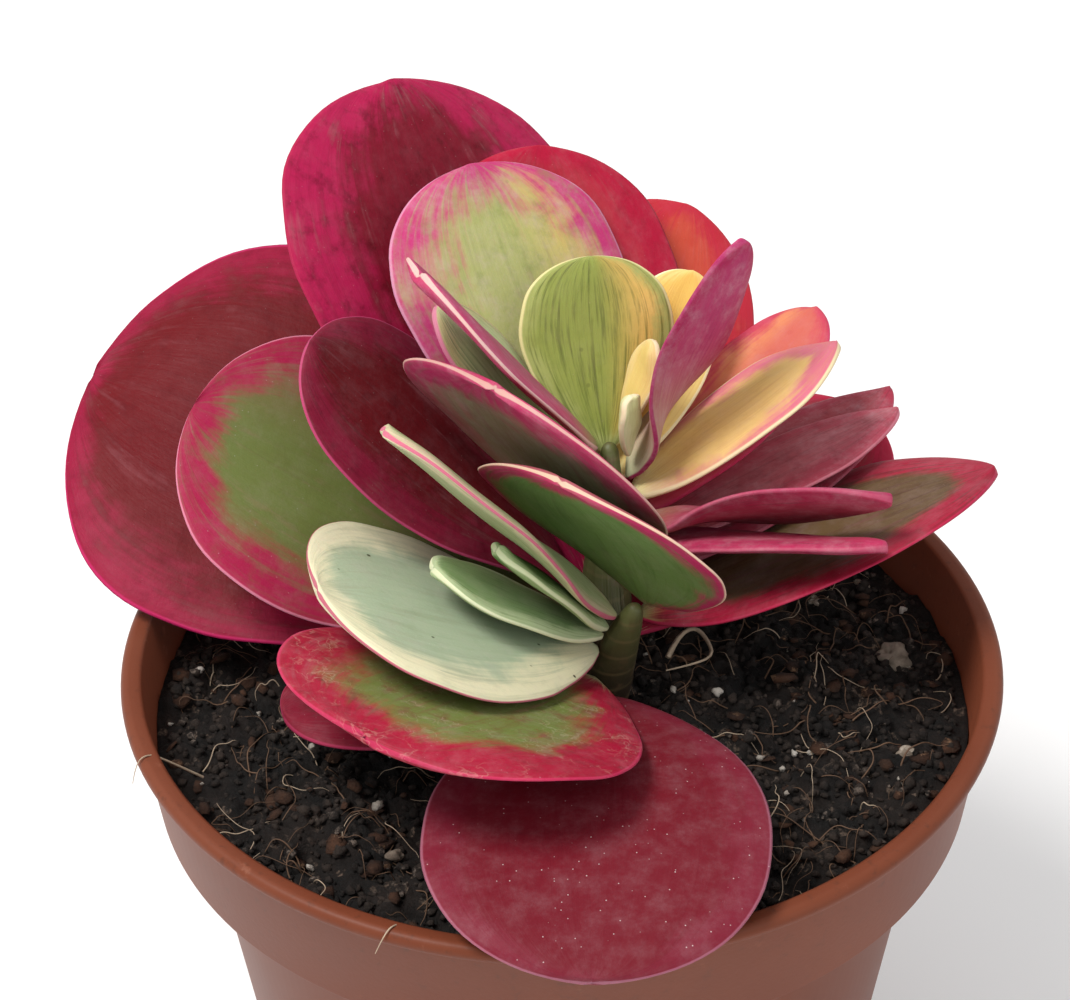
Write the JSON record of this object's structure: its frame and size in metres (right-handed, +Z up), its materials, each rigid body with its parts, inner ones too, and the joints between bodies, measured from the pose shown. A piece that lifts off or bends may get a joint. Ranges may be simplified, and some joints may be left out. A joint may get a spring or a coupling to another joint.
{
  "type": "potted kalanchoe",
  "caption": "Paddle-leaved succulent with overlapping round leaves, growing in a round tapering nursery pot of dark soil.",
  "frame": {"origin": "centre of the pot's flat base, on the surface it stands on", "axes": "+Z up, +X to the right and -Y to the front as the plant is looked at"},
  "size_m": [0.1297, 0.1342, 0.153],
  "materials": {
    "pot_plastic": "satin terracotta-brown",
    "soil": "damp dark peat compost, stood in for by wood's density",
    "stem": "matt green bark",
    "leaf_green": "waxy leaf skin",
    "leaf_pale_green": "waxy leaf skin",
    "leaf_dusty_red": "waxy leaf skin",
    "leaf_red_green": "waxy leaf skin",
    "leaf_crimson": "waxy leaf skin",
    "leaf_rose_green": "waxy leaf skin",
    "leaf_pink": "waxy leaf skin",
    "leaf_orange_red": "waxy leaf skin",
    "leaf_brown_red": "waxy leaf skin",
    "leaf_yellow": "waxy leaf skin",
    "leaf_dark_red": "waxy leaf skin"
  },
  "bodies": {
    "root": {"nursery_pot": "pot_plastic", "potting_soil": "soil", "branching_stem": "stem", "left_green_leaf": "leaf_green", "cream_leaf": "leaf_pale_green", "front_dusty_leaf": "leaf_dusty_red", "front_red_leaf": "leaf_red_green", "left_great_leaf": "leaf_crimson", "young_folded_leaf": "leaf_green", "young_upright_leaf": "leaf_pale_green", "fold_outer_leaf": "leaf_rose_green", "upper_streaked_leaf": "leaf_green", "upper_pale_leaf": "leaf_pale_green", "upright_pink_leaf": "leaf_pink", "rear_great_leaf": "leaf_crimson", "rear_red_leaf": "leaf_crimson", "rear_orange_leaf": "leaf_orange_red", "right_great_leaf": "leaf_brown_red", "golden_leaf": "leaf_yellow", "left_dark_leaf": "leaf_dark_red", "upper_small_leaf": "leaf_pale_green", "right_pink_leaf": "leaf_pink", "right_rosy_leaf": "leaf_pink", "right_brown_leaf": "leaf_pink", "right_dark_leaf": "leaf_dark_red", "upright_yellow_leaf": "leaf_yellow", "hidden_pink_leaf": "leaf_pink", "fold_inner_leaf": "leaf_rose_green", "young_outer_leaf": "leaf_green", "young_inner_leaf": "leaf_green", "small_yellow_leaf": "leaf_yellow", "upper_sliver_leaf": "leaf_yellow", "low_dark_leaf": "leaf_dark_red", "back_right_leaf": "leaf_red_green", "back_low_leaf": "leaf_red_green", "back_left_leaf": "leaf_crimson"}
  },
  "joints": []
}
